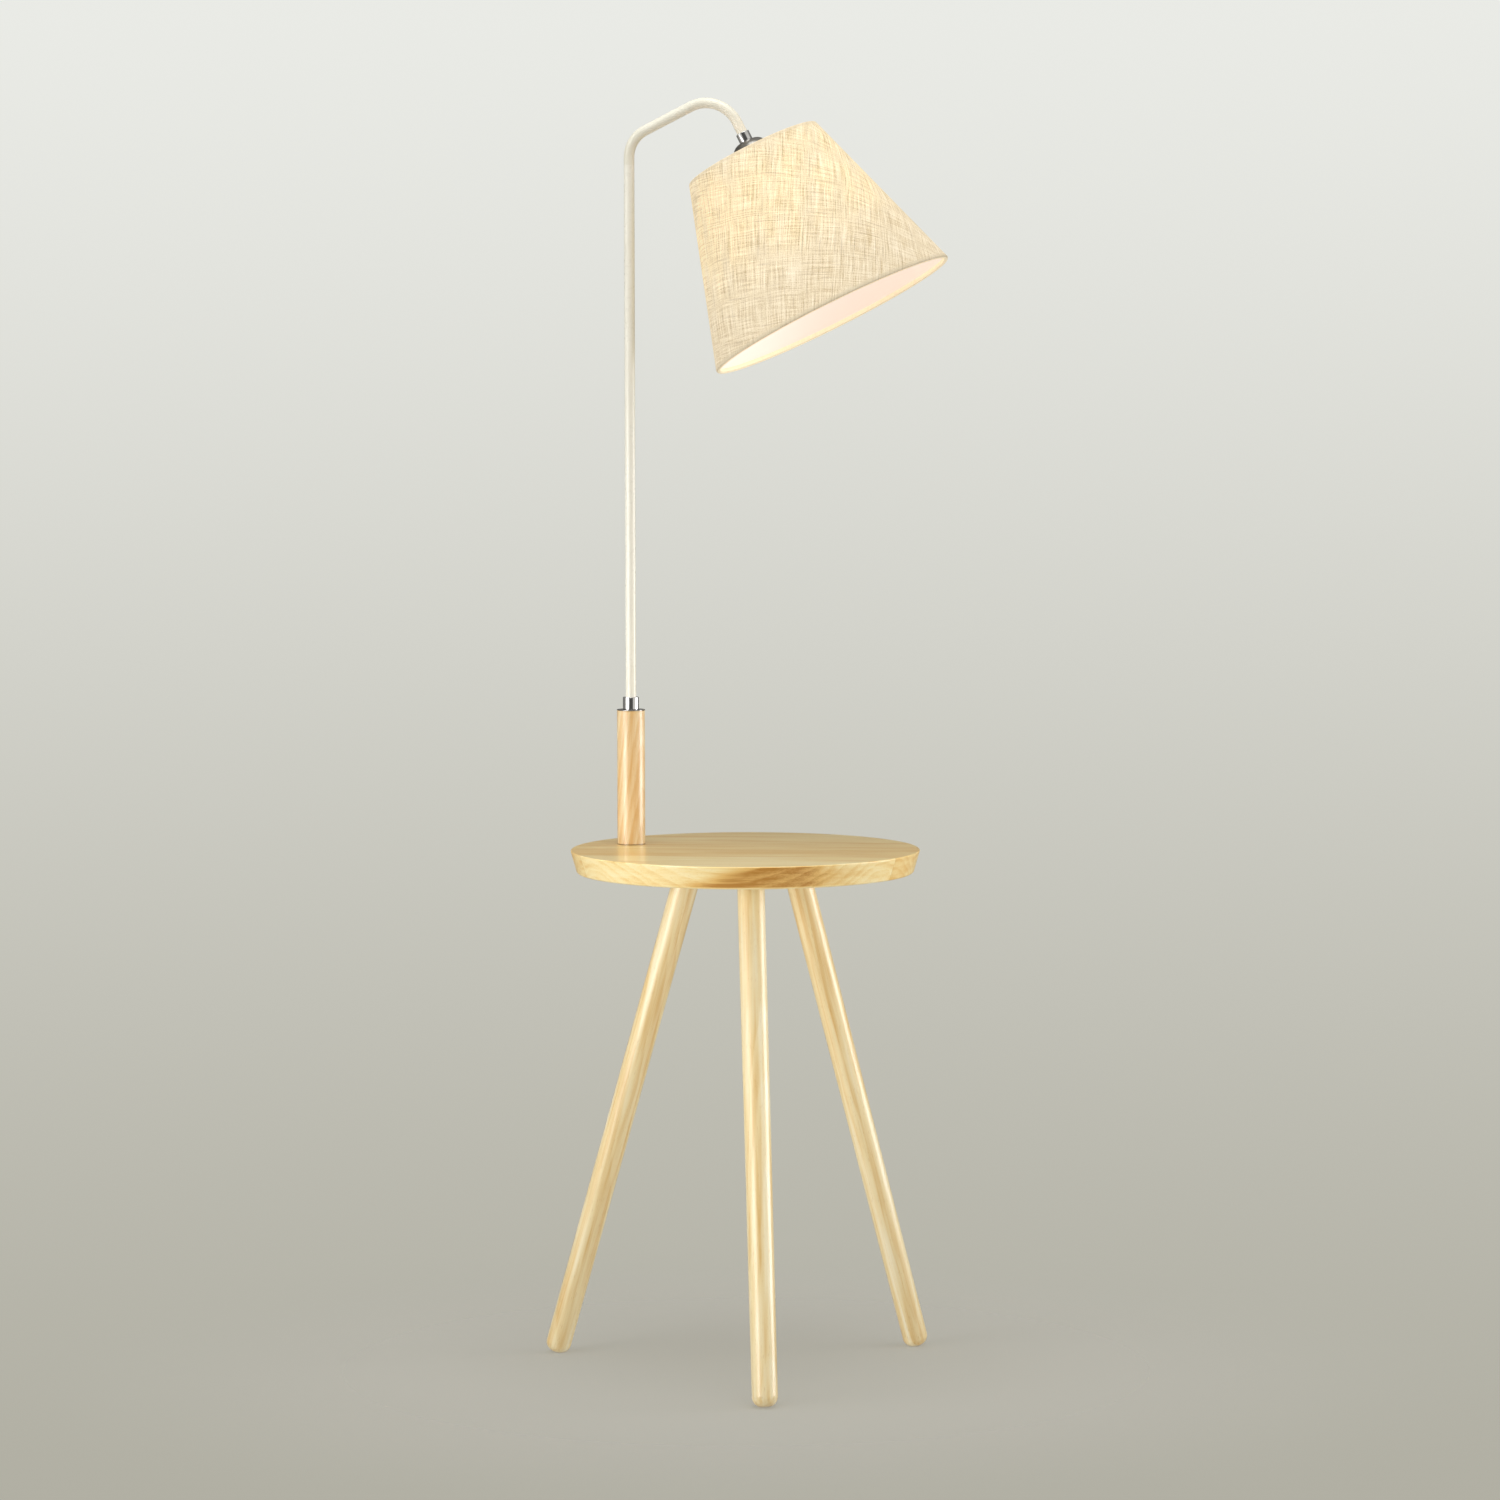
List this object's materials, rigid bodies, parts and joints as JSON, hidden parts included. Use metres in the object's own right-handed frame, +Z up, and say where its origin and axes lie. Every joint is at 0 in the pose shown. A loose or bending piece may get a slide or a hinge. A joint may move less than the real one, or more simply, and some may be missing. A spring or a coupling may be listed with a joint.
{
  "type": "floor lamp with table",
  "caption": "Floor lamp on a round wooden side table with splayed legs: a white upright that swivels, a bending neck and a tilted linen shade.",
  "frame": {"origin": "on the floor, on the table's upright axis", "axes": "+Z up; the post and the rear leg are on the -X side, the arm reaches towards +X, turned 10 degrees towards +Y"},
  "size_m": [0.4775, 0.447, 1.4557],
  "materials": {
    "lacquered_wood": "clear satin lacquer on pale wood",
    "zinc_steel": "zinc plated",
    "chrome": "polished",
    "grey_nickel": "dull grey nickel plate",
    "white_paint": "gloss white",
    "neck_sleeve": "smooth white sleeve",
    "white_wire": "white powder coat",
    "brass": "turned",
    "holder_plastic": "moulded",
    "flex_sheath": "extruded sheath",
    "liner_plastic": "smooth translucent",
    "linen": "natural slub linen",
    "bulb_glass": "opal, lit",
    "bulb_metal": "bare"
  },
  "bodies": {
    "stand": {"table_top": "lacquered_wood", "leg_rear": "lacquered_wood", "leg_right": "lacquered_wood", "leg_left": "lacquered_wood", "leg_bolts": "zinc_steel", "leg_inserts": "zinc_steel", "lamp_post": "lacquered_wood", "post_rod": "zinc_steel", "rod_washer": "zinc_steel", "rod_nut": "zinc_steel", "cord_gland": "holder_plastic", "post_plate": "chrome", "base_collar": "chrome", "collar_screw": "chrome", "flex_in_post": "flex_sheath"},
    "upright": {"swivel_spigot": "brass", "upright_tube": "white_paint", "neck_root_bush": "zinc_steel", "flex_in_upright": "flex_sheath"},
    "neck": {"neck_core_root": "zinc_steel", "neck_core_tip": "zinc_steel", "neck_sleeve_root": "neck_sleeve", "neck_sleeve_middle": "neck_sleeve", "neck_sleeve_tip": "neck_sleeve", "flex_in_neck_root": "flex_sheath", "flex_in_neck_tip": "flex_sheath"},
    "head": {"neck_tip_nipple": "zinc_steel", "head_collar": "chrome", "holder_cap": "grey_nickel", "holder_dome": "holder_plastic", "holder_skirt": "holder_plastic", "holder_insert": "holder_plastic", "terminal_screws": "zinc_steel", "screw_shell": "brass", "centre_contact": "brass", "flex_in_head": "flex_sheath", "shade_nut": "holder_plastic", "shade_fitter": "white_wire", "shade_bottom_wire": "white_wire", "shade_liner": "liner_plastic", "shade_skin": "linen", "bulb_globe": "bulb_glass", "bulb_base": "bulb_metal"}
  },
  "joints": [
    {"name": "upright_swivel", "type": "hinge", "parent": "stand", "child": "upright", "pos_m": [-0.145, 0, 0.757], "axis": [0, 0, 1], "range_deg": [-150, 150]},
    {"name": "neck_root_bend", "type": "hinge", "parent": "upright", "child": "neck", "pos_m": [-0.145, 0, 1.40942], "axis": [-0.1736, 0.9848, 0], "range_deg": [-45, 6], "deforming": ["neck_core_root", "neck_sleeve_root", "flex_in_neck_root"]},
    {"name": "neck_tip_bend", "type": "hinge", "parent": "neck", "child": "head", "pos_m": [-0.03716, 0.01901, 1.46354], "axis": [-0.1736, 0.9848, 0], "range_deg": [-50, 8], "deforming": ["neck_core_tip", "neck_sleeve_tip", "flex_in_neck_tip"]}
  ]
}
